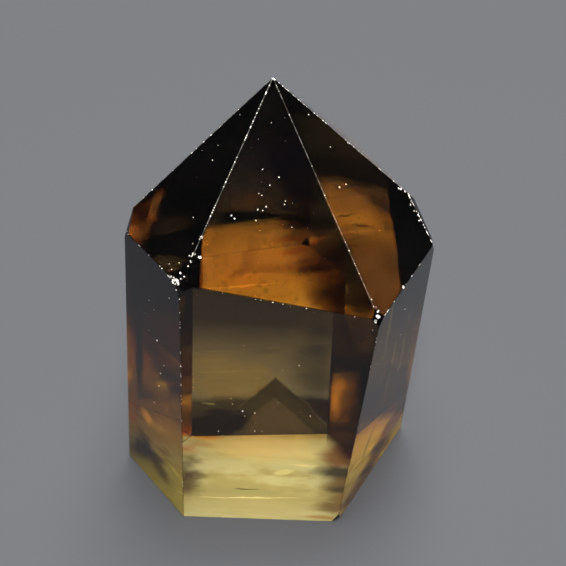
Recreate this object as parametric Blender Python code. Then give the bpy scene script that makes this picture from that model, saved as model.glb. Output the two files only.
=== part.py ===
"""Polished citrine crystal point: one solid, standing on its flat foot.

Metres, +Z up along the crystal, -Y towards the viewer. The six prism faces and the six
faces of the point are ground flat, so the solid is a block cut by one plane per face.
"""
from math import cos, pi, radians, sin

import bmesh
import bpy
from mathutils import Vector

HEIGHT = 0.0500
TIP = Vector((-0.0016, 0.0014, HEIGHT))  # the point stands a little left of the middle
EDGE_WEAR = 0.00006  # how far polishing has rounded each face back from its edges

# Prism faces: direction the face looks, in degrees from the front towards the right;
# distance from the axis at the foot; lean in degrees, positive when it narrows upwards.
PRISM_FACES = {
    "front": (1.6, 0.01209, 2.2),
    "right_front": (63.5, 0.01236, -2.8),
    "right_back": (131.1, 0.01281, 1.3),
    "back": (188.9, 0.01123, 0.5),
    "left_back": (245.3, 0.01257, 0.1),
    "left_front": (309.4, 0.01475, 0.7),
}

# Faces of the point, all through the tip: direction, and slope from the horizontal.
POINT_FACES = {
    "front": (8.9, 55.2),
    "right_front": (60.5, 50.7),
    "right_back": (126.5, 50.3),
    "back": (188.9, 56.1),
    "left_back": (240.6, 55.8),
    "left_front": (309.1, 48.9),
}

# Chipped and worn corners: the corner, the direction and upward tilt of the break,
# and how deep it cuts below the corner.
CHIPS = {
    "left_shoulder": (Vector((-0.00945, -0.01105, 0.03400)), 333.0, 14.0, 0.00038),
    "left_shoulder_rim": (Vector((-0.00880, -0.01030, 0.03485)), 338.0, 33.0, 0.00022),
    "left_shoulder_side": (Vector((-0.01000, -0.01070, 0.03410)), 312.0, 24.0, 0.00020),
    "right_shoulder": (Vector((0.01016, -0.01065, 0.03026)), 36.0, 26.0, 0.00036),
    "side_shoulder": (Vector((-0.01549, -0.00373, 0.03394)), 284.0, 24.0, 0.00030),
    "back_shoulder": (Vector((0.01378, 0.00251, 0.03432)), 92.0, 32.0, 0.00040),
    "back_shoulder_low": (Vector((0.01571, 0.00041, 0.03100)), 92.0, 14.0, 0.00030),
    "front_foot": (Vector((0.00789, -0.01187, 0.0)), 32.0, -14.0, 0.00034),
}


def facing(azimuth, tilt):
    """Unit vector at an azimuth from the front towards the right, tilted upwards; degrees."""
    a, t = radians(azimuth), radians(tilt)
    return Vector((sin(a) * cos(t), -cos(a) * cos(t), sin(t)))


def cut(bm, point, normal):
    """Slice the solid flat at a plane and drop what lies beyond it."""
    everything = bm.verts[:] + bm.edges[:] + bm.faces[:]
    sliced = bmesh.ops.bisect_plane(
        bm, geom=everything, dist=1e-7, plane_co=point, plane_no=normal, clear_outer=True)
    rim = [g for g in sliced["geom_cut"] if isinstance(g, bmesh.types.BMEdge)]
    bmesh.ops.edgeloop_fill(bm, edges=rim)


def crystal_mesh():
    """Cut the crystal from a block standing on the ground, then wear its edges."""
    bm = bmesh.new()
    bmesh.ops.create_cube(bm, size=3 * HEIGHT)
    bmesh.ops.translate(bm, verts=bm.verts, vec=(0, 0, 1.5 * HEIGHT))
    for azimuth, distance, lean in PRISM_FACES.values():
        cut(bm, facing(azimuth, 0) * distance, facing(azimuth, lean))
    for azimuth, slope in POINT_FACES.values():
        cut(bm, TIP, facing(azimuth, 90 - slope))
    for corner, azimuth, tilt, depth in CHIPS.values():
        normal = facing(azimuth, tilt)
        cut(bm, corner - normal * depth, normal)
    bmesh.ops.remove_doubles(bm, verts=bm.verts, dist=0.00002)
    bmesh.ops.dissolve_limit(
        bm, angle_limit=radians(0.2), verts=bm.verts, edges=bm.edges)
    ridges = [e for e in bm.edges if e.calc_face_angle(0) > pi / 12]
    bmesh.ops.bevel(
        bm, geom=ridges, offset=EDGE_WEAR, offset_type="OFFSET", segments=1, profile=0.5,
        affect="EDGES", clamp_overlap=True, material=-1)
    bmesh.ops.recalc_face_normals(bm, faces=bm.faces)
    mesh = bpy.data.meshes.new("crystal")
    bm.to_mesh(mesh)
    bm.free()
    return mesh


def citrine():
    """Clear smoky amber quartz."""
    material = bpy.data.materials.new("citrine")
    material.use_nodes = True
    shader = material.node_tree.nodes["Principled BSDF"]
    shader.inputs["Base Color"].default_value = (0.36, 0.19, 0.06, 1.0)
    shader.inputs["Roughness"].default_value = 0.05
    shader.inputs["Metallic"].default_value = 0.0
    shader.inputs["IOR"].default_value = 1.544
    shader.inputs["Transmission Weight"].default_value = 1.0
    return material


for old in list(bpy.data.objects):
    bpy.data.objects.remove(old)

crystal = bpy.data.objects.new("crystal", crystal_mesh())
crystal.data.materials.append(citrine())
bpy.context.scene.collection.objects.link(crystal)
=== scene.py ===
"""Polished citrine crystal point standing on its ground foot, on a pale studio floor.

Metres, +Z up along the crystal, -Y towards the viewer. The point is one solid: clear
amber quartz with a smoky tip, chipped along its edges and ground matt underneath.
"""

import random
from math import cos, pi, radians, sin

import bmesh
import bpy
from mathutils import Matrix, Vector


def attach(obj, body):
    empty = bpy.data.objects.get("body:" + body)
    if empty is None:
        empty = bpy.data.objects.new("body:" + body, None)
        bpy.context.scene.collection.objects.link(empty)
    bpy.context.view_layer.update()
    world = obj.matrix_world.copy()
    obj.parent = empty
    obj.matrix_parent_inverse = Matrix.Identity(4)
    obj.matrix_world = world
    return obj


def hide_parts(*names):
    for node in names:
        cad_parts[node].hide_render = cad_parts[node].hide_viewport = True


MM = 0.001
FLOOR_GAP = 0.00002  # keeps the floor from touching the foot's face

# Camera
CAMERA_TARGET = Vector((0.00046, -0.00048, 0.02481))
CAMERA_DISTANCE = 0.17738
CAMERA_ELEVATION = 44.37
CAMERA_ROLL = 3.274
SENSOR_WIDTH = 36.0  # millimetres
LENS = 108.60  # millimetres
VIEW_WIDTH = 566  # pixels, of the view that the flaws are marked in
MARKING_LENS = 107.73  # millimetres; that view is a little wider than the camera's

# Lights: name, azimuth, elevation, distance and width in metres, power in watts
LIGHTS = [
    ("key", 0, 62, 0.7, 0.12, 6.5),
    ("overhead", 172, 70, 0.7, 0.35, 8.0),
    ("top", 0, 88, 0.7, 0.35, 8.0),
]
ROOM_LIGHT = (0.9, 0.95, 1.0)
ROOM_STRENGTH = 0.05
FLOOR_COLOUR = (0.0525, 0.0538, 0.0575)

# Faces as cut: azimuth from the front towards the right, distance from the axis at the
# foot, lean; and for the point, azimuth and slope of each face through the tip.
TIP = Vector((-0.0016, 0.0014, 0.0500))
PRISM_FACES = {
    "front": (1.6, 0.01209, 2.2),
    "right_front": (63.5, 0.01236, -2.8),
    "right_back": (131.1, 0.01281, 1.3),
    "back": (188.9, 0.01123, 0.5),
    "left_back": (245.3, 0.01257, 0.1),
    "left_front": (309.4, 0.01475, 0.7),
}
POINT_FACES = {
    "front": (8.9, 55.2),
    "right_front": (60.5, 50.7),
    "right_back": (126.5, 50.3),
    "back": (188.9, 56.1),
    "left_back": (240.6, 55.8),
    "left_front": (309.1, 48.9),
}

# Corners of the crystal: the two faces of an edge, and the face or faces that end it.
# Where two are named the corner is a short edge, and its middle is taken.
CORNERS = {
    "tip": ("point front", "point right_back", "point left_back"),
    "left_shoulder": ("prism front", "point left_front", "prism left_front", "point front"),
    "right_shoulder": ("prism front", "point right_front", "prism right_front", "point front"),
    "side_right": ("prism right_front", "prism right_back", "point right_front"),
    "rear_right": ("point right_front", "point right_back", "prism right_back"),
    "rim_high": ("point right_front", "point right_back", "broken rear_right"),
    "rim_middle": ("point right_front", "broken rear_right", "broken side_right"),
    "rim_low": ("prism right_front", "point right_front", "broken side_right"),
    "back_right": ("prism back", "point right_back", "prism right_back", "point back"),
    "back_left": ("prism back", "point left_back", "prism left_back", "point back"),
    "rear_left": ("point left_back", "point left_front", "prism left_back"),
    "side_left": ("prism left_back", "prism left_front", "point left_front"),
    "foot_front_left": ("prism front", "prism left_front", "foot"),
    "foot_front_right": ("prism front", "prism right_front", "foot"),
    "foot_right": ("prism right_front", "prism right_back", "foot"),
    "foot_back_right": ("prism right_back", "prism back", "foot"),
    "foot_back_left": ("prism back", "prism left_back", "foot"),
    "foot_left": ("prism left_back", "prism left_front", "foot"),
}

# Broken corners: azimuth and tilt of the break, in degrees, and for those that a worn rim
# runs along, the depth below the corner, in millimetres
BROKEN_FACES = {
    "left_shoulder": (333, 14),
    "left_rim": (338, 33),
    "left_side": (312, 24),
    "right_shoulder": (36, 26),
    "side_left": (284, 24),
    "rear_right": (92, 32),
    "side_right": (92, 14),
    "front_foot": (32, -14),
}
BREAK_DEPTHS = {"rear_right": 0.40, "side_right": 0.30}

# Nicks along the edges: the two corners, how many, and their size in millimetres
NICKED_EDGES = [
    ("tip", "left_shoulder", 50, 0.050),
    ("tip", "right_shoulder", 24, 0.040),
    ("tip", "rim_high", 44, 0.055),
    ("tip", "rear_left", 18, 0.050),
    ("tip", "back_right", 18, 0.055),
    ("tip", "back_left", 18, 0.055),
    ("rim_high", "rim_middle", 28, 0.075),
    ("rim_low", "right_shoulder", 12, 0.065),
    ("left_shoulder", "right_shoulder", 7, 0.045),
    ("side_left", "left_shoulder", 9, 0.060),
    ("rear_left", "side_left", 8, 0.060),
    ("rear_right", "back_right", 9, 0.065),
    ("back_right", "back_left", 9, 0.065),
    ("back_left", "rear_left", 9, 0.065),
    ("left_shoulder", "foot_front_left", 46, 0.045),
    ("right_shoulder", "foot_front_right", 24, 0.045),
    ("side_right", "foot_right", 14, 0.050),
    ("side_left", "foot_left", 14, 0.050),
    ("back_right", "foot_back_right", 14, 0.050),
    ("back_left", "foot_back_left", 14, 0.050),
    ("foot_front_left", "foot_front_right", 22, 0.060),
    ("foot_front_right", "foot_right", 14, 0.060),
    ("foot_front_left", "foot_left", 14, 0.060),
    ("foot_right", "foot_back_right", 10, 0.060),
    ("foot_back_right", "foot_back_left", 10, 0.060),
    ("foot_back_left", "foot_left", 10, 0.060),
]

# Crumbled places: their mark, in pixels across and down the view; how far they are sunk in
# the face, how far the breaks scatter, how many there are, and their size, in millimetres
CRUMBLED = [
    (205.5, 231, 0.07, 0.10, 2, 0.11), (202, 238, 0.07, 0.14, 3, 0.12),
    (194, 244, 0.03, 0.05, 1, 0.09), (197.5, 248, 0.07, 0.12, 2, 0.12),
    (195.5, 255.5, 0.10, 0.30, 9, 0.13), (190.5, 256.5, 0.06, 0.14, 3, 0.09),
    (192.5, 262.5, 0.08, 0.20, 5, 0.10), (187.5, 270.5, 0.10, 0.16, 4, 0.10),
    (186.5, 275.5, 0.09, 0.24, 6, 0.12), (181.5, 273.5, 0.10, 0.16, 4, 0.10),
    (172, 274, 0.02, 0.30, 8, 0.11), (170.5, 277, 0.02, 0.22, 6, 0.12),
    (176.5, 280, 0.12, 0.36, 16, 0.15), (174.5, 281.5, 0.04, 0.26, 8, 0.12),
    (178.5, 284, 0.17, 0.26, 9, 0.12), (189.5, 266.5, 0.11, 0.18, 4, 0.09),
    (371, 299, 0.0, 0.04, 1, 0.08), (375.5, 307, 0.03, 0.08, 2, 0.09),
    (377.5, 311, 0.03, 0.10, 3, 0.11), (379, 316, 0.06, 0.22, 6, 0.16),
    (376.5, 320.5, 0.12, 0.18, 4, 0.13), (369, 320.5, 0.01, 0.12, 2, 0.10),
    (368, 323, 0.01, 0.06, 1, 0.08), (372, 330, 0.01, 0.04, 1, 0.07),
    (403, 287, 0.0, 0.10, 3, 0.14), (126, 232, 0.0, 0.14, 4, 0.12),
    (273.5, 79.5, 0.0, 0.12, 5, 0.12), (407, 194, 0.0, 0.40, 12, 0.12),
    (412.5, 205, 0.0, 0.45, 14, 0.12), (418, 216.5, 0.0, 0.35, 8, 0.11),
    (398.8, 186.9, 0.0, 0.30, 7, 0.10),
]

# Pin-pricks in the polish: their mark, in pixels, and their size, in millimetres
PIN_PRICKS = [
    (240, 116, 0.06), (213, 161, 0.08), (194, 218, 0.07), (180, 263, 0.07), (170, 264, 0.07),
    (170, 298, 0.08), (177, 290, 0.08), (158, 340, 0.11), (150, 300, 0.06), (160, 385, 0.06),
    (155, 310, 0.06), (165, 365, 0.06), (263, 170, 0.08), (279, 178, 0.09), (270, 186, 0.06),
    (259, 194, 0.07), (262, 196, 0.07), (266, 207.5, 0.09), (258, 210, 0.08),
    (263, 211, 0.09), (232, 216, 0.09), (235, 219, 0.07), (256, 221, 0.09),
    (284.5, 205, 0.07), (308.5, 116, 0.08), (347, 144, 0.06), (330, 148, 0.06),
    (339, 188, 0.08), (345.5, 185, 0.07), (418, 221, 0.09), (404, 309, 0.08),
    (400, 334, 0.06), (233, 403, 0.06), (243, 410, 0.07), (245, 415, 0.06), (255, 412, 0.07),
    (274, 407, 0.05), (310, 415, 0.06), (255, 430, 0.07), (262, 430, 0.06), (299, 365, 0.05),
    (219, 430, 0.07),
]
FINE_PITS = 260  # smaller pits, scattered over the polished faces
FINE_PIT_SIZE = 0.030  # millimetres
CHIP_SEED = 11

# Clear quartz
REFRACTIVE_INDEX = 1.544
DEPTH_COLOUR = (0.92, 0.87, 0.15)
DEPTH_DENSITY = 18.0

# Colours of the stone, as the shares of red, green and blue that a face lets through.
# Bands run up the stone: (height in millimetres, shares).
PITCH = (0.004, 0.004, 0.012)
RUSTY_PITCH = (0.05, 0.02, 0.02)
# Painted shadow on the back face: the peak's dark edge, its dim inside, and the dark beside it
PAINTED_SHADOW_PEAK_EDGE = (0.02, 0.012, 0.012)
PAINTED_SHADOW_UNDER_PEAK = (0.29, 0.205, 0.165)
PAINTED_SHADOW_BESIDE_PEAK = (0.03, 0.02, 0.03)
PRISM_BANDS = [
    (2, (1.0, 1.0, 0.97)), (10, (1.0, 0.99, 0.86)), (20, (0.82, 0.70, 0.49)),
    (30, (0.52, 0.38, 0.27)), (36, (0.40, 0.28, 0.20)),
]
POINT_BANDS = [
    (32, (0.84, 0.62, 0.42)), (38, (0.76, 0.52, 0.34)), (40.5, (0.44, 0.29, 0.22)),
    (43.5, (0.16, 0.11, 0.12)), (46, (0.04, 0.030, 0.05)), (50, (0.012, 0.010, 0.02)),
]
FRONT_POINT_BANDS = [
    (33, (0.76, 0.350, 0.130)), (36, (0.63, 0.250, 0.120)), (38.3, (0.40, 0.190, 0.115)),
    (38.95, (0.035, 0.028, 0.04)), (39.5, (0.040, 0.032, 0.065)), (40.2, (0.085, 0.058, 0.100)),
    (41.5, (0.058, 0.046, 0.105)), (43.6, (0.040, 0.035, 0.105)), (45.3, (0.032, 0.029, 0.085)),
    (45.8, (0.008, 0.008, 0.025)), (50, (0.006, 0.006, 0.02)),
]
FRONT_POINT_PATCHES = [  # right, up, half length, half width, turn, core, shares, strength
    (-1.2, 36.3, 3.0, 1.1, 4, 0.1, (0.74, 0.295, 0.110), 0.8),
    (-5.0, 34.1, 3.2, 1.0, -8, 0.1, (0.82, 0.300, 0.095), 0.85),
    (-4.2, 39.3, 4.6, 0.50, 2, 0.5, (0.007, 0.007, 0.010), 0.97),
    (-3.9, 40.7, 3.0, 1.0, 0, 0.1, (0.145, 0.062, 0.085), 0.85),
    (3.6, 40.8, 4.4, 1.8, -4, 0.3, (0.020, 0.020, 0.050), 0.95),
    (3.6, 38.35, 5.2, 1.35, -3, 0.6, (0.010, 0.009, 0.020), 0.98),
    (1.2, 36.6, 3.4, 2.4, -35, 0.0, (0.30, 0.105, 0.085), 0.95),
    (0.8, 37.70, 2.8, 1.0, 14, 0.0, (0.13, 0.055, 0.06), 0.85),
    (4.4, 36.4, 3.6, 2.2, 0, 0.4, (0.070, 0.036, 0.05), 0.97),
    (6.9, 36.0, 2.8, 3.2, 0, 0.4, (0.010, 0.008, 0.015), 0.98),
    (2.8, 34.85, 4.4, 0.75, 4, 0.1, (0.05, 0.024, 0.025), 0.9),
    (-5.0, 35.20, 2.4, 0.90, 40, 0.1, (0.40, 0.135, 0.075), 0.85),
    (-2.2, 35.15, 4.8, 0.70, -3, 0.0, (0.44, 0.145, 0.08), 0.8),
    (4.8, 32.9, 4.4, 2.8, 0, 0.0, (0.140, 0.075, 0.06), 0.95),
    (6.4, 34.2, 6.0, 3.2, -62, 0.2, (0.035, 0.024, 0.030), 0.97),
    (6.8, 31.9, 4.6, 2.8, -15, 0.2, (0.026, 0.017, 0.017), 0.97),
]
RIGHT_POINT_BANDS = [
    (28, (0.175, 0.080, 0.065)), (34.0, (0.190, 0.085, 0.065)), (35.8, (0.30, 0.130, 0.080)),
    (37.5, (0.58, 0.260, 0.105)), (38.7, (0.38, 0.165, 0.095)), (40.2, (0.29, 0.125, 0.105)),
    (41.0, (0.08, 0.045, 0.05)), (41.6, (0.007, 0.006, 0.012)), (43.4, (0.007, 0.006, 0.012)),
    (44.1, (0.020, 0.017, 0.035)),
    (46.2, (0.022, 0.018, 0.035)), (47.4, (0.009, 0.008, 0.02)), (52, (0.006, 0.006, 0.02)),
]
RIGHT_POINT_PATCHES = [
    (-0.7, 37.7, 1.8, 0.20, 18, 0.3, (0.04, 0.022, 0.03), 0.95),
    (0.4, 36.9, 2.2, 0.24, 5, 0.1, (0.14, 0.060, 0.05), 0.8),
    (4.6, 39.6, 3.4, 2.4, -20, 0.1, (0.050, 0.026, 0.035), 0.97),
    (3.4, 37.4, 2.0, 1.6, 0, 0.0, (0.16, 0.066, 0.05), 0.8),
    (2.0, 33.7, 2.2, 1.8, 0, 0.0, (0.080, 0.036, 0.03), 0.85),
    (0.2, 33.4, 2.4, 1.0, 0, 0.1, (0.15, 0.065, 0.05), 0.6),
    (4.6, 34.0, 2.6, 1.3, 0, 0.2, (0.030, 0.014, 0.015), 0.9),
]
# The left face of the point is painted near black: painted shade, for the dark side of the room
# that the view through it ends on.
LEFT_POINT_SHADE = [(28, (0.005, 0.005, 0.012)), (52, (0.003, 0.003, 0.014))]
LEFT_POINT_PATCHES = [
    (-6.9, 38.1, 4.8, 2.4, 127, 0.0, (0.62, 0.215, 0.125), 1.0),
    (-6.3, 39.7, 1.9, 1.0, 60, 0.0, (0.27, 0.115, 0.09), 0.9),
    (-7.1, 37.6, 2.6, 1.0, 127, 0.0, (0.66, 0.20, 0.08), 0.9),
    (-2.0, 38.3, 2.8, 1.2, 10, 0.1, (0.036, 0.026, 0.06), 0.95),
    (0.4, 34.7, 3.2, 1.2, 0, 0.1, (0.088, 0.064, 0.085), 0.95),
]
FRONT_PRISM_BANDS = [
    (12.8, (1.0, 1.0, 0.98)), (13.8, (0.95, 0.84, 0.62)), (15.5, (0.90, 0.74, 0.50)),
    (18.5, (0.88, 0.68, 0.42)), (21, (0.82, 0.60, 0.36)), (23.5, (0.74, 0.53, 0.31)),
    (26, (0.66, 0.47, 0.28)), (28, (0.35, 0.25, 0.17)), (29.5, (0.19, 0.125, 0.09)),
    (33, (0.15, 0.10, 0.075)),
]
# The first patch is painted light, a warm glow low on the left for light the stone brings onto the
# floor behind; the second is painted shadow beside the back face's peak.
FRONT_PRISM_PATCHES = [
    (-4.8, 21.4, 6.0, 4.0, 0, 0.35, (1.0, 0.66, 0.26), 1.0),
    (-5.9, 15.0, 5.0, 2.4, 12, 0.6, (0.17, 0.125, 0.10), 0.97),
    (4.2, 22.4, 3.8, 4.2, 0, 0.2, (0.30, 0.21, 0.12), 0.9),
    (3.9, 26.0, 3.8, 3.0, 0, 0.0, (0.20, 0.15, 0.11), 0.95),
    (-1.0, 25.8, 3.8, 1.2, 3, 0.0, (0.44, 0.33, 0.21), 0.75),
    (4.2, 28.6, 2.6, 1.4, 0, 0.0, (0.13, 0.085, 0.07), 0.9),
]
LEFT_STRIP = [
    (13, (0.46, 0.210, 0.05)), (15.5, (0.10, 0.045, 0.02)), (17.0, (0.16, 0.085, 0.03)),
    (18.2, (0.34, 0.190, 0.05)), (19.6, (0.08, 0.04, 0.02)), (22.3, (0.17, 0.07, 0.025)),
    (25, (0.09, 0.04, 0.015)), (28, (0.06, 0.035, 0.02)), (34, (0.06, 0.035, 0.02)),
]
RIGHT_STRIP = [
    (12, (0.16, 0.070, 0.02)), (16.5, (0.045, 0.020, 0.01)), (18, (0.03, 0.013, 0.008)),
    (27, (0.012, 0.007, 0.006)), (30, (0.070, 0.030, 0.012)), (34, (0.060, 0.028, 0.012)),
]
STRIP_PATCHES = [
    (6.9, 19.2, 5.8, 1.9, 90, 0.15, (0.19, 0.092, 0.022), 1.0),
    (6.25, 19.6, 5.0, 1.0, 90, 0.1, (0.60, 0.300, 0.050), 0.95),
    (9.4, 21.0, 6.0, 1.3, 90, 0.1, PITCH, 0.9),
]
LEFT_PRISM_BANDS = [
    (-2, (0.50, 0.46, 0.21)), (2.5, (0.50, 0.46, 0.22)), (6, (0.32, 0.26, 0.12)),
    (9, (0.26, 0.175, 0.06)), (12.6, (0.24, 0.145, 0.03)), (15.5, (0.13, 0.070, 0.01)),
    (18.5, (0.10, 0.045, 0.008)),
    (20.5, (0.19, 0.055, 0.01)), (23, (0.15, 0.040, 0.008)), (27, (0.11, 0.026, 0.006)),
    (29.5, PITCH), (42, PITCH),
]
LEFT_PRISM_PATCHES = [
    (-6.8, 24.0, 10.5, 1.2, 90, 0.2, (0.22, 0.085, 0.008), 0.95),
    (-6.8, 18.4, 1.8, 1.1, 90, 0.1, (0.50, 0.250, 0.02), 0.95),
    (-4.5, 22.5, 9.0, 1.1, 90, 0.3, PITCH, 0.95),
    (0.6, 20.4, 3.6, 1.9, 8, 0.0, (0.46, 0.220, 0.01), 0.92),
    (0.3, 17.8, 2.6, 1.1, 10, 0.0, (0.42, 0.235, 0.01), 0.9),
    (-3.6, 15.8, 2.4, 1.2, 0, 0.2, PITCH, 0.8),
    (-3.4, 12.4, 2.4, 0.75, -55, 0.1, (0.66, 0.38, 0.03), 0.95),
    (-0.6, 10.9, 3.0, 0.9, -12, 0.0, (0.40, 0.25, 0.05), 0.75),
    (-6.2, 12.4, 3.2, 1.2, 90, 0.1, (0.36, 0.16, 0.015), 0.85),
    (-4.4, 7.0, 3.9, 2.7, 0, 0.2, PITCH, 0.92),
    (-0.4, 7.4, 2.8, 0.7, -30, 0.0, (0.14, 0.085, 0.02), 0.8),
    (2.6, 4.0, 3.4, 0.5, -40, 0.1, (0.72, 0.68, 0.28), 0.7),
]
RIGHT_PRISM_BANDS = [
    (-4, (0.52, 0.40, 0.20)), (1, (0.56, 0.42, 0.14)), (5.4, (0.80, 0.54, 0.07)),
    (8, (0.76, 0.50, 0.03)), (9.7, (0.60, 0.34, 0.012)), (11.2, (0.10, 0.03, 0.008)),
    (14.5, (0.10, 0.035, 0.008)), (19.5, (0.22, 0.11, 0.012)), (24.5, (0.10, 0.04, 0.01)),
    (29, PITCH), (42, PITCH),
]
# The three upright streaks are painted reflection, a streaky sheen on the face.
RIGHT_PRISM_PATCHES = [
    (1.0, 18.0, 8.0, 0.7, 90, 0.1, (0.60, 0.42, 0.10), 0.8),
    (3.6, 21.0, 9.0, 0.5, 90, 0.1, (0.50, 0.33, 0.08), 0.7),
    (-2.0, 24.5, 7.0, 0.5, 90, 0.1, (0.50, 0.36, 0.12), 0.7),
    (-1.8, 6.5, 4.0, 0.7, 70, 0.0, (0.12, 0.06, 0.01), 0.5),
]
# On the back face: a pale wisp, and an orange line along the left slope of the painted shadow's
# peak, which is a painted caustic for light brought through the stone onto the floor.
BACK_PATCHES = [
    (7.4, 5.35, 1.2, 0.26, 12, 0.3, (0.95, 1.0, 0.80), 1.0),
    (1.7, 7.6, 1.7, 0.18, -50, 0.2, (0.95, 0.42, 0.08), 0.9),
]

# These faces look to the camera; besides the stone's colour, their bands and patches paint in
# shade and light seen through them.
# Face, lean of its veils, range of its bands, its bands and its patches
ZONED_FACES = [
    (POINT_FACES, "front", 0.0, 33, 50, FRONT_POINT_BANDS, FRONT_POINT_PATCHES),
    (POINT_FACES, "right_front", 0.70, 28, 52, RIGHT_POINT_BANDS, RIGHT_POINT_PATCHES),
    (POINT_FACES, "left_front", -0.52, 28, 52, LEFT_POINT_SHADE, LEFT_POINT_PATCHES),
    (PRISM_FACES, "front", 0.0, 12, 34, FRONT_PRISM_BANDS, FRONT_PRISM_PATCHES),
    (PRISM_FACES, "left_front", -0.80, -2, 42, LEFT_PRISM_BANDS, LEFT_PRISM_PATCHES),
    (PRISM_FACES, "right_front", 0.88, -4, 42, RIGHT_PRISM_BANDS, RIGHT_PRISM_PATCHES),
]

# Patches of the ground foot: x and y, half length and half width, turn, core, colour, strength
FOOT_PATCHES = [
    (0.0, 8.0, 11.0, 5.6, 2, 0.2, (1.0, 1.0, 0.74), 0.92),
    (0.0, 12.6, 12.0, 1.1, 4, 0.0, (1.0, 0.60, 0.10), 1.0),
    (-7.6, 10.2, 2.8, 1.6, 0, 0.0, (1.0, 0.56, 0.09), 0.9),
    (0.0, -7.6, 12.0, 5.6, 0, 0.4, (0.52, 0.51, 0.28), 0.6),
    (-2.0, -4.8, 8.0, 1.5, 4, 0.3, (0.46, 0.50, 0.27), 0.8),
    (-2.8, -4.2, 1.7, 0.24, 3, 0.3, (0.08, 0.08, 0.03), 0.97),
    (-2.5, -6.55, 8.0, 0.18, 5, 0.3, (1.0, 1.0, 0.76), 0.95),
    (3.9, 3.3, 1.5, 0.42, -8, 0.3, (1.0, 1.0, 0.80), 1.0),
    (1.3, 1.0, 1.6, 0.8, 42, 0.5, (0.90, 0.98, 0.74), 0.8),
    (9.4, -2.5, 13.0, 5.2, 90, 0.15, (0.17, 0.10, 0.03), 0.97),
    (8.0, 6.2, 3.4, 4.6, 0, 0.3, (0.26, 0.11, 0.02), 0.97),
    (8.0, 1.6, 4.2, 2.1, 0, 0.2, (0.02, 0.018, 0.015), 0.95),
    (8.6, -3.2, 3.8, 1.5, 0, 0.2, (0.04, 0.03, 0.02), 0.95),
    (7.8, -8.0, 4.0, 1.8, 0, 0.2, (0.17, 0.11, 0.045), 0.9),
    (6.4, -10.8, 3.6, 1.1, 0, 0.2, (0.44, 0.26, 0.08), 0.9),
    (-9.0, -1.0, 8.0, 2.4, 90, 0.1, (0.08, 0.05, 0.03), 1.0),
    (-9.2, 6.6, 2.6, 2.2, 0, 0.0, (0.62, 0.20, 0.02), 0.9),
]

# Colours of the ground foot, the broken places and the worn edges: darker, then paler
FOOT_GROUND = (0.52, 0.55, 0.30), (0.66, 0.68, 0.42)
FOOT_MILK = (0.74, 0.84, 0.70)
BROKEN_GRAIN = (0.10, 0.06, 0.03), (0.92, 0.89, 0.84)
WORN_GRAIN = (0.010, 0.008, 0.006), (0.095, 0.090, 0.085)

# Slots of the crystal's mesh
CLEAR, GROUND, BROKEN, WORN = range(4)
SLOT_COUNT = 4


def facing(azimuth, tilt):
    """Unit vector at an azimuth from the front towards the right, tilted upwards; degrees."""
    a, t = radians(azimuth), radians(tilt)
    return Vector((sin(a) * cos(t), -cos(a) * cos(t), sin(t)))


# ---------------------------------------------------------------- faces and places


def face_plane(faces, name):
    """Outward normal of a cut face, and its distance from the origin in millimetres."""
    if faces is PRISM_FACES:
        azimuth, distance, lean = faces[name]
        normal = facing(azimuth, lean)
        return normal, normal.dot(facing(azimuth, 0) * distance) / MM
    azimuth, slope = faces[name]
    normal = facing(azimuth, 90 - slope)
    return normal, normal.dot(TIP) / MM


def cut_plane(name):
    """Normal and distance of any face: of the prism, the point or a break, or the foot."""
    kind, _, which = name.partition(" ")
    if kind == "foot":
        return Vector((0, 0, -1)), 0.0
    if kind == "broken":
        normal = facing(*BROKEN_FACES[which])
        return normal, normal.dot(corner(which)) - BREAK_DEPTHS[which]
    return face_plane({"prism": PRISM_FACES, "point": POINT_FACES}[kind], which)


def corner(name):
    """A corner of the crystal, in millimetres."""
    first, second, *ends = CORNERS[name]
    middle = Vector((0, 0, 0))
    for end in ends:
        planes = [cut_plane(face) for face in (first, second, end)]
        normals = Matrix([normal for normal, _ in planes])
        middle += normals.inverted() @ Vector([distance for _, distance in planes])
    return middle / len(ends)


def view_axes():
    """The camera's directions: across, upward and back."""
    elevation, roll = radians(CAMERA_ELEVATION), radians(CAMERA_ROLL)
    right = Vector((1, 0, 0))
    up = Vector((0, sin(elevation), cos(elevation)))
    across = right * cos(roll) + up * sin(roll)
    upward = up * cos(roll) - right * sin(roll)
    return across, upward, Vector((0, -cos(elevation), sin(elevation)))


def marked_place(x, y):
    """The place in millimetres on the nearest face at a mark in the view, and its normal."""
    across, upward, back = view_axes()
    eye = (CAMERA_TARGET + back * CAMERA_DISTANCE) / MM
    middle, depth = VIEW_WIDTH / 2, VIEW_WIDTH * MARKING_LENS / SENSOR_WIDTH
    ray = across * ((x - middle) / depth) - upward * ((y - middle) / depth) - back
    hits = []
    for faces in (PRISM_FACES, POINT_FACES):
        for name in faces:
            normal, distance = face_plane(faces, name)
            if normal.dot(ray) < 0:
                hits.append(((distance - normal.dot(eye)) / normal.dot(ray), normal))
    reach, normal = max(hits, key=lambda hit: hit[0])
    return eye + ray * reach, normal


# ---------------------------------------------------------------- shader writing


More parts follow.
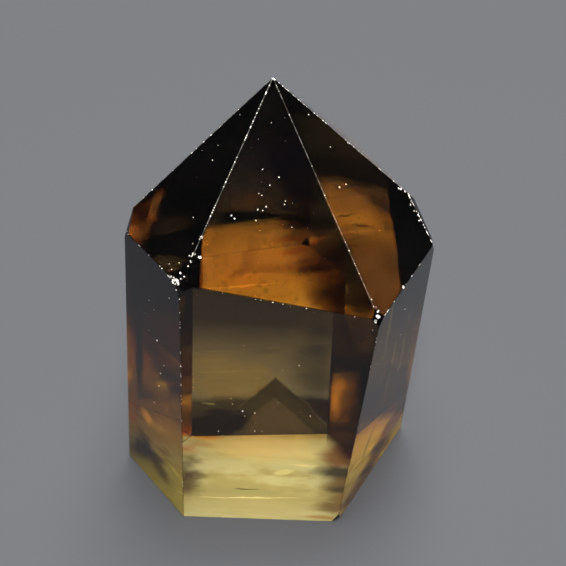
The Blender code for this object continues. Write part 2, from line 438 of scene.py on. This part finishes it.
class Finish:
    """One material and the nodes that make it."""

    def __init__(self, name):
        self.material = bpy.data.materials.new(name)
        self.material.use_nodes = True
        self.tree = self.material.node_tree
        self.shader = self.tree.nodes["Principled BSDF"]

    def node(self, kind, settings=None, output=0, **sockets):
        """Add a node: its settings first, then values or links for its sockets."""
        made = self.tree.nodes.new(kind)
        for name, value in (settings or {}).items():
            if name == "stops":
                self.set_stops(made.color_ramp, value)
            else:
                setattr(made, name, value)
        for name, value in sockets.items():
            self.join(value, next(s for s in made.inputs if s.identifier == name))
        if isinstance(output, str):
            return Link(self, next(s for s in made.outputs if s.identifier == output))
        return Link(self, made.outputs[output])

    def set_stops(self, ramp, stops):
        while len(ramp.elements) < len(stops):
            ramp.elements.new(1.0)
        for element, (place, colour) in zip(ramp.elements, stops):
            element.position, element.color = place, (*colour, 1.0)

    def join(self, value, socket):
        if isinstance(value, Link):
            self.tree.links.new(value.socket, socket)
        else:
            socket.default_value = value

    def set(self, **values):
        """Set or link sockets of the Principled shader; _ stands for a space."""
        for name, value in values.items():
            self.join(value, self.shader.inputs[name.replace("_", " ")])

    def place(self):
        return self.node("ShaderNodeTexCoord", output="Object")

    def noise(self, vector, scale, detail=3.0, roughness=0.5, distortion=0.0):
        return self.node(
            "ShaderNodeTexNoise", Vector=vector, Scale=scale, Detail=detail,
            Roughness=roughness, Distortion=distortion)

    def stretch(self, vector, scale, turn=(0.0, 0.0, 0.0)):
        return self.node(
            "ShaderNodeMapping", Vector=vector, Scale=scale,
            Rotation=tuple(radians(a) for a in turn))

    def blend(self, factor, low, high):
        """Mix two colours."""
        low, high = [(*c, 1.0) if isinstance(c, tuple) else c for c in (low, high)]
        return self.node(
            "ShaderNodeMix", {"data_type": "RGBA"}, output="Result_Color",
            Factor_Float=factor, A_Color=low, B_Color=high)

    def step(self, value, low, high):
        """0 below low, 1 above high and smooth between; low may be the greater."""
        return self.node(
            "ShaderNodeMapRange", {"interpolation_type": "SMOOTHSTEP", "clamp": False},
            Value=value, **{"From Min": low, "From Max": high})


class Link:
    """A socket's value. Python's operators on it add Math nodes."""

    def __init__(self, finish, socket):
        self.finish, self.socket = finish, socket

    def math(self, operation, *values):
        made = self.finish.tree.nodes.new("ShaderNodeMath")
        made.operation = operation
        for value, socket in zip(values, made.inputs):
            self.finish.join(value, socket)
        return Link(self.finish, made.outputs[0])

    def __add__(self, other):
        return self.math("ADD", self, other)

    def __radd__(self, other):
        return self.math("ADD", other, self)

    def __sub__(self, other):
        return self.math("SUBTRACT", self, other)

    def __rsub__(self, other):
        return self.math("SUBTRACT", other, self)

    def __mul__(self, other):
        return self.math("MULTIPLY", self, other)

    def __rmul__(self, other):
        return self.math("MULTIPLY", other, self)

    def __truediv__(self, other):
        return self.math("DIVIDE", self, other)

    def __rtruediv__(self, other):
        return self.math("DIVIDE", other, self)

    def __abs__(self):
        return self.math("ABSOLUTE", self)

    def along(self, direction):
        """Distance of a place along a direction."""
        return self.finish.node(
            "ShaderNodeVectorMath", {"operation": "DOT_PRODUCT"}, output="Value",
            Vector=self, Vector_001=tuple(direction))


# ---------------------------------------------------------------- materials


class Zoning:
    """The places that the colour zones of the crystal are drawn from, in millimetres."""

    def __init__(self, finish):
        self.finish = finish
        self.place = finish.place()
        self.x = self.place.along((1, 0, 0)) / MM
        self.z = self.place.along((0, 0, 1)) / MM
        self.normal = finish.node("ShaderNodeTexCoord", output="Normal")
        self.point = finish.step(abs(self.normal.along((0, 0, 1))), 0.3, 0.4)
        self.veil = finish.noise(
            finish.stretch(self.place, (110, 110, 520), (0, 8, 0)), 1.0, detail=6.0,
            roughness=0.6, distortion=0.8) - 0.5
        self.cloud = finish.noise(self.place, 260.0, detail=4.0) - 0.5
        self.ragged = self.veil * 0.7 + self.cloud * 0.9

    def on(self, faces, name):
        """1 on one cut face and 0 on the others."""
        normal, offset = face_plane(faces, name)
        return self.finish.step(abs(self.place.along(normal) / MM - offset), 0.10, 0.05)

    def across(self, azimuth):
        """Distance to the right along a face that looks in a direction."""
        return self.place.along(facing(azimuth + 90, 0)) / MM

    def near(self, place, reach):
        """1 close to a place in the crystal, with a ragged edge; millimetres."""
        away = self.finish.node(
            "ShaderNodeVectorMath", {"operation": "DISTANCE"}, output="Value",
            Vector=self.place, Vector_001=tuple(Vector(place) * MM)) / MM
        return self.finish.step(away + self.cloud * reach, reach, reach * 0.6)

    def sheet(self, azimuth, lean):
        """Places on a face, right and up, with the lean that its veils grow at."""
        across = self.across(azimuth)
        return self.finish.node(
            "ShaderNodeCombineXYZ", X=across + self.cloud * 1.6,
            Y=self.z + across * lean + self.veil * 1.8 + self.cloud * 0.7)

    def spot(self, sheet, right, up, length, width, turn, core):
        """1 in the core of a soft patch of a sheet, and 0 outside; millimetres and degrees."""
        place = self.finish.node(
            "ShaderNodeMapping", {"vector_type": "TEXTURE"}, Vector=sheet,
            Location=(right, up, 0), Rotation=(0, 0, radians(turn)), Scale=(length, width, 1))
        away = self.finish.node(
            "ShaderNodeVectorMath", {"operation": "LENGTH"}, output="Value", Vector=place)
        return self.finish.step(away + self.ragged, 1.0, core)


def zoned(zones, value, low, high, bands):
    """Colour bands along a value that runs from low to high: (value, shares let through)."""
    stops = [((at - low) / (high - low), shares) for at, shares in bands]
    return zones.finish.node(
        "ShaderNodeValToRGB", {"stops": stops}, output="Color", Fac=(value - low) / (high - low))


def lay_patches(zones, face, sheet, colour, patches):
    """Lay the patches of one face over its colour: stains, painted shade and painted light."""
    for right, up, length, width, turn, core, shares, strength in patches:
        spot = zones.spot(sheet, right, up, length, width, turn, core)
        colour = zones.finish.blend(face * spot * strength, colour, shares)
    return colour


def citrine():
    """Clear amber quartz, smoky in the tip, pale at the foot; the faces towards the camera also
    carry painted shade and light.
    """
    finish = Finish("citrine")
    zones = Zoning(finish)
    blend, step = finish.blend, finish.step

    drift = zones.z + zones.cloud * 2.4 + zones.veil * 2.0
    colour = blend(
        zones.point, zoned(zones, drift, 0, 40, PRISM_BANDS),
        zoned(zones, drift, 30, 50, POINT_BANDS))
    for faces, name, lean, low, high, bands, patches in ZONED_FACES:
        azimuth = faces[name][0]
        face = zones.on(faces, name)
        level = zones.z + zones.across(azimuth) * lean + zones.veil * 1.5 + zones.cloud * 0.5
        colour = blend(face, colour, zoned(zones, level, low, high, bands))
        colour = lay_patches(zones, face, zones.sheet(azimuth, lean), colour, patches)

    # The right face of the point is pitch dark past a slanting line, and the front one
    # at its left end.
    right_point = zones.on(POINT_FACES, "right_front")
    across = zones.across(POINT_FACES["right_front"][0])
    beyond = across - 6.4 + (37.4 - zones.z) * 0.87 + zones.cloud * 0.8
    colour = blend(right_point * step(beyond, -0.45, 0.25), colour, PITCH)
    front_point = zones.on(POINT_FACES, "front")
    colour = blend(front_point * step(zones.x, -7.35, -7.60), colour, PITCH)

    # Two dark strips, orange in places, stand at the sides of the front face.
    front = zones.on(PRISM_FACES, "front")
    height = zones.z + zones.cloud * 1.8 + zones.veil * 1.2
    colour = blend(
        front * step(zones.x, -8.06, -8.16) * step(zones.z, 12.6, 13.4), colour,
        zoned(zones, height, 10, 34, LEFT_STRIP))
    beyond = zones.x - 5.52 + (zones.z - 28) * 0.023
    slant = zones.z + zones.x * 1.29 + zones.cloud * 1.6
    colour = blend(
        front * step(beyond, 0.0, 0.10) * step(slant, 19.2, 22.2), colour,
        zoned(zones, height + zones.x * 0.3, 10, 34, RIGHT_STRIP))
    colour = lay_patches(
        zones, front, zones.sheet(PRISM_FACES["front"][0], 0), colour, STRIP_PATCHES)

    # Painted shadow stands low on the back face: a dark peak, dim brown inside it and dark beside
    # it, for the crystal's shadow on the floor behind, seen through the stone.
    back = zones.on(PRISM_FACES, "back")
    roof = zones.z + abs(zones.x + 0.1) * 1.22 + zones.cloud * 1.6 + zones.veil * 0.8
    outside = step(roof, 8.6, 9.6)
    colour = blend(back * step(roof, 9.4, 8.6), colour, PAINTED_SHADOW_UNDER_PEAK)
    colour = blend(
        back * outside * step(zones.z + zones.cloud * 2, 6.8, 5.2), colour, PAINTED_SHADOW_BESIDE_PEAK)
    colour = blend(back * step(abs(roof - 7.7), 1.9, 1.1), colour, PAINTED_SHADOW_PEAK_EDGE)
    colour = lay_patches(zones, back, zones.sheet(180, 0), colour, BACK_PATCHES)

    # The broken corners are dark, and so are specks in the point.
    colour = blend(zones.near(corner("left_shoulder"), 1.5), colour, PITCH)
    colour = blend(zones.near(corner("right_shoulder"), 0.8), colour, RUSTY_PITCH)
    for azimuth, tilt in BROKEN_FACES.values():
        turned = abs(zones.normal.along(facing(azimuth, tilt)))
        colour = blend(step(turned, 0.970, 0.985), colour, PITCH)
    grain = finish.noise(zones.place, 1500.0, detail=2.0)
    colour = blend(zones.point * step(grain, 0.52, 0.72) * 0.25, colour, PITCH)
    # The shares are for one pass; the face's colour is their square.
    colour = finish.node(
        "ShaderNodeVectorMath", {"operation": "MULTIPLY"}, Vector=colour, Vector_001=colour)
    finish.set(
        Base_Color=colour, Roughness=0.0, IOR=REFRACTIVE_INDEX, Transmission_Weight=1.0)
    depth = finish.node(
        "ShaderNodeVolumeAbsorption", Color=(*DEPTH_COLOUR, 1.0), Density=DEPTH_DENSITY)
    finish.join(depth, finish.tree.nodes["Material Output"].inputs["Volume"])
    return finish.material


def ground_foot():
    """The sawn and ground underside: pale, milky and matt, with darker, orange and paler patches.
    """
    finish = Finish("ground_foot")
    zones = Zoning(finish)
    across, deep = zones.x, zones.place.along((0, 1, 0)) / MM
    wisp = finish.noise(finish.stretch(zones.place, (90, 420, 90)), 1.0, detail=5.0) - 0.5
    plan = finish.node(
        "ShaderNodeCombineXYZ", X=across + zones.cloud * 2.4 + wisp * 2.0,
        Y=deep + zones.cloud * 1.2 + wisp * 1.8)
    milk = finish.step(zones.cloud * 2.0 + wisp - abs(deep - 3.0) * 0.09, -0.60, 0.10)
    colour = finish.blend(finish.step(wisp + zones.cloud * 0.5, -0.2, 0.25), *FOOT_GROUND)
    colour = finish.blend(milk, colour, FOOT_MILK)
    for x, y, length, width, turn, core, tint, strength in FOOT_PATCHES:
        spot = zones.spot(plan, x, y, length, width, turn, core)
        colour = finish.blend(spot * strength, colour, tint)
    finish.set(Base_Color=colour, Roughness=0.6)
    return finish.material


def fracture():
    """Fresh broken quartz, white and sugary with amber hollows."""
    finish = Finish("fracture")
    place = finish.place()
    grain = finish.noise(place, 5000.0, detail=3.0)
    colour = finish.blend(finish.step(grain, 0.36, 0.52), *BROKEN_GRAIN)
    finish.set(Base_Color=colour, Roughness=0.35)
    return finish.material


def worn_edge():
    """Edges rubbed matt: silvery where they are bruised, dark between."""
    finish = Finish("worn_edge")
    place = finish.place()
    bruise = finish.noise(place, 1600.0, detail=3.0)
    colour = finish.blend(finish.step(bruise, 0.44, 0.66), *WORN_GRAIN)
    finish.set(Base_Color=colour, Roughness=0.4)
    return finish.material


# ---------------------------------------------------------------- crystal


def worn_directions():
    """Outward normals of the worn ridges of the point, and of its shoulders."""
    point = [face_plane(POINT_FACES, name)[0] for name in POINT_FACES]
    prism = [face_plane(PRISM_FACES, name)[0] for name in PRISM_FACES]
    pairs = [(point[i], point[i - 1]) for i in range(6)]
    pairs += [(point[i], prism[j % 6]) for i in range(6) for j in (i - 1, i + 1)]
    return [(a + b).normalized() for a, b in pairs]


def crystal_blank():
    """A copy of the cut solid, with each flat face whole again."""
    bm = bmesh.new()
    bm.from_mesh(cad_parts["crystal"].data)
    bmesh.ops.remove_doubles(bm, verts=bm.verts, dist=0.000002)
    bmesh.ops.dissolve_limit(bm, angle_limit=radians(0.2), verts=bm.verts, edges=bm.edges)
    bmesh.ops.recalc_face_normals(bm, faces=bm.faces)
    worn = worn_directions()
    for face in bm.faces:
        face.smooth = False
        if face.normal.z < -0.99:
            face.material_index = GROUND
        elif max(face.normal.dot(direction) for direction in worn) > cos(radians(3)):
            face.material_index = WORN
    mesh = bpy.data.meshes.new("crystal_point")
    bm.to_mesh(mesh)
    bm.free()
    return mesh


def add_bite(bm, chance, centre, reach, detail=1):
    """An irregular lump that breaks a chip out of the crystal; centre and reach in millimetres."""
    axis = Vector([chance.uniform(-1, 1) for _ in range(3)]).normalized()
    turn = Matrix.Rotation(chance.uniform(0, 2 * pi), 4, axis)
    shape = Matrix.Diagonal([chance.uniform(0.65, 1.35) for _ in range(3)]).to_4x4()
    made = bmesh.ops.create_icosphere(
        bm, subdivisions=detail, radius=reach * MM,
        matrix=Matrix.Translation(Vector(centre) * MM) @ turn @ shape)
    for vert in made["verts"]:
        vert.co += Vector([chance.uniform(-1, 1) for _ in range(3)]) * reach * MM * 0.20


def bites_mesh():
    """All the lumps that nick the edges, crumble the corners and pit the faces."""
    chance = random.Random(CHIP_SEED)
    bm = bmesh.new()
    for start, end, count, size in NICKED_EDGES:
        start, end = corner(start), corner(end)
        for _ in range(count):
            centre = start.lerp(end, chance.uniform(0.01, 0.99))
            add_bite(bm, chance, centre, size * chance.uniform(0.6, 1.6))
    for x, y, sunk, spread, count, size in CRUMBLED:
        place, normal = marked_place(x, y)
        place -= normal * sunk
        for _ in range(count):
            centre = place + Vector([chance.gauss(0, spread * 0.6) for _ in range(3)])
            add_bite(bm, chance, centre, size * chance.uniform(0.6, 1.3), detail=2)
    for x, y, size in PIN_PRICKS:
        add_bite(bm, chance, marked_place(x, y)[0], size)
    for _ in range(FINE_PITS):
        faces, name = chance.choice(
            [(PRISM_FACES, n) for n in PRISM_FACES] + [(POINT_FACES, n) for n in POINT_FACES] * 2)
        normal, offset = face_plane(faces, name)
        height = chance.uniform(1, 34) if faces is PRISM_FACES else chance.uniform(33, 49)
        side = facing(faces[name][0] + 90, 0)
        centre = side * chance.uniform(-9, 9) + Vector((0, 0, height))
        centre += normal * ((offset - centre.dot(normal)) / normal.dot(normal))
        add_bite(bm, chance, centre, FINE_PIT_SIZE * (0.5 + 1.4 * chance.random() ** 2))
    for face in bm.faces:
        face.material_index = BROKEN
    mesh = bpy.data.meshes.new("bites")
    bm.to_mesh(mesh)
    bm.free()
    return mesh


def break_away(piece, bites):
    """Cut the bites out of a piece, and keep only the cut piece."""
    cutter = bpy.data.objects.new("bites", bites)
    bpy.context.scene.collection.objects.link(cutter)
    for _ in range(SLOT_COUNT):
        bites.materials.append(None)
    cut = piece.modifiers.new("chips", "BOOLEAN")
    cut.object = cutter
    cut.operation = "DIFFERENCE"
    cut.solver = "EXACT"
    cut.use_self = True
    cut.material_mode = "INDEX"
    evaluated = piece.evaluated_get(bpy.context.evaluated_depsgraph_get())
    chipped = bpy.data.meshes.new_from_object(evaluated)
    piece.modifiers.clear()
    piece.data = chipped
    bpy.data.objects.remove(cutter)


def build_crystal():
    """The crystal: the cut solid with its chips broken out, in its four finishes."""
    piece = bpy.data.objects.new("crystal_point", crystal_blank())
    bpy.context.scene.collection.objects.link(piece)
    for material in (citrine(), ground_foot(), fracture(), worn_edge()):
        piece.data.materials.append(material)
    break_away(piece, bites_mesh())
    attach(piece, "root")
    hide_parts("crystal")
    return piece


# ---------------------------------------------------------------- studio


def lay_floor():
    """Plain studio paper, just under the foot."""
    bm = bmesh.new()
    bmesh.ops.create_grid(bm, x_segments=1, y_segments=1, size=1.5)
    bmesh.ops.translate(bm, verts=bm.verts, vec=(0, 0, -FLOOR_GAP))
    mesh = bpy.data.meshes.new("floor")
    bm.to_mesh(mesh)
    bm.free()
    floor = bpy.data.objects.new("floor", mesh)
    bpy.context.scene.collection.objects.link(floor)
    finish = Finish("floor_paper")
    finish.set(Base_Color=(*FLOOR_COLOUR, 1.0), Roughness=0.9, Specular_IOR_Level=0.1)
    floor.data.materials.append(finish.material)


def hang_light(name, azimuth, elevation, distance, size, power):
    """A round soft light aimed at the middle of the crystal."""
    lamp = bpy.data.lights.new(name, "AREA")
    lamp.shape = "DISK"
    lamp.size = size
    lamp.energy = power
    light = bpy.data.objects.new(name, lamp)
    direction = facing(azimuth, elevation)
    light.location = CAMERA_TARGET + direction * distance
    light.rotation_euler = direction.to_track_quat("Z", "Y").to_euler()
    bpy.context.scene.collection.objects.link(light)


def set_room_light(colour, strength):
    """A faint even light from all round."""
    world = bpy.data.worlds.new("room")
    world.use_nodes = True
    background = world.node_tree.nodes["Background"]
    background.inputs["Color"].default_value = (*colour, 1.0)
    background.inputs["Strength"].default_value = strength
    bpy.context.scene.world = world


def set_camera():
    """Look down on the crystal from the front, a little tilted."""
    across, upward, back = view_axes()
    data = bpy.data.cameras.new("camera")
    data.lens = LENS
    data.sensor_width = SENSOR_WIDTH
    data.clip_start = 0.01
    data.clip_end = 10.0
    camera = bpy.data.objects.new("camera", data)
    turned = Matrix((across, upward, back)).transposed().to_4x4()
    camera.matrix_world = Matrix.Translation(CAMERA_TARGET + back * CAMERA_DISTANCE) @ turned
    bpy.context.scene.collection.objects.link(camera)
    bpy.context.scene.camera = camera


def set_rendering():
    """Let light pass through the crystal often enough."""
    scene = bpy.context.scene
    scene.cycles.max_bounces = 32
    scene.cycles.transmission_bounces = 32
    scene.cycles.glossy_bounces = 32
    scene.view_settings.view_transform = "Standard"


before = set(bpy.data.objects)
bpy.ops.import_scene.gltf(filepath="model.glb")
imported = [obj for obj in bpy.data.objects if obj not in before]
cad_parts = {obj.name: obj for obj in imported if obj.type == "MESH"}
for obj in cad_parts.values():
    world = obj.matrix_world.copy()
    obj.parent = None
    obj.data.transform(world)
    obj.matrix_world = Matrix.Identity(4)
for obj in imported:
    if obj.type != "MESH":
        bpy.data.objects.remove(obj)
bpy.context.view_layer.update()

build_crystal()
lay_floor()
for light in LIGHTS:
    hang_light(*light)
set_room_light(ROOM_LIGHT, ROOM_STRENGTH)
set_camera()
set_rendering()
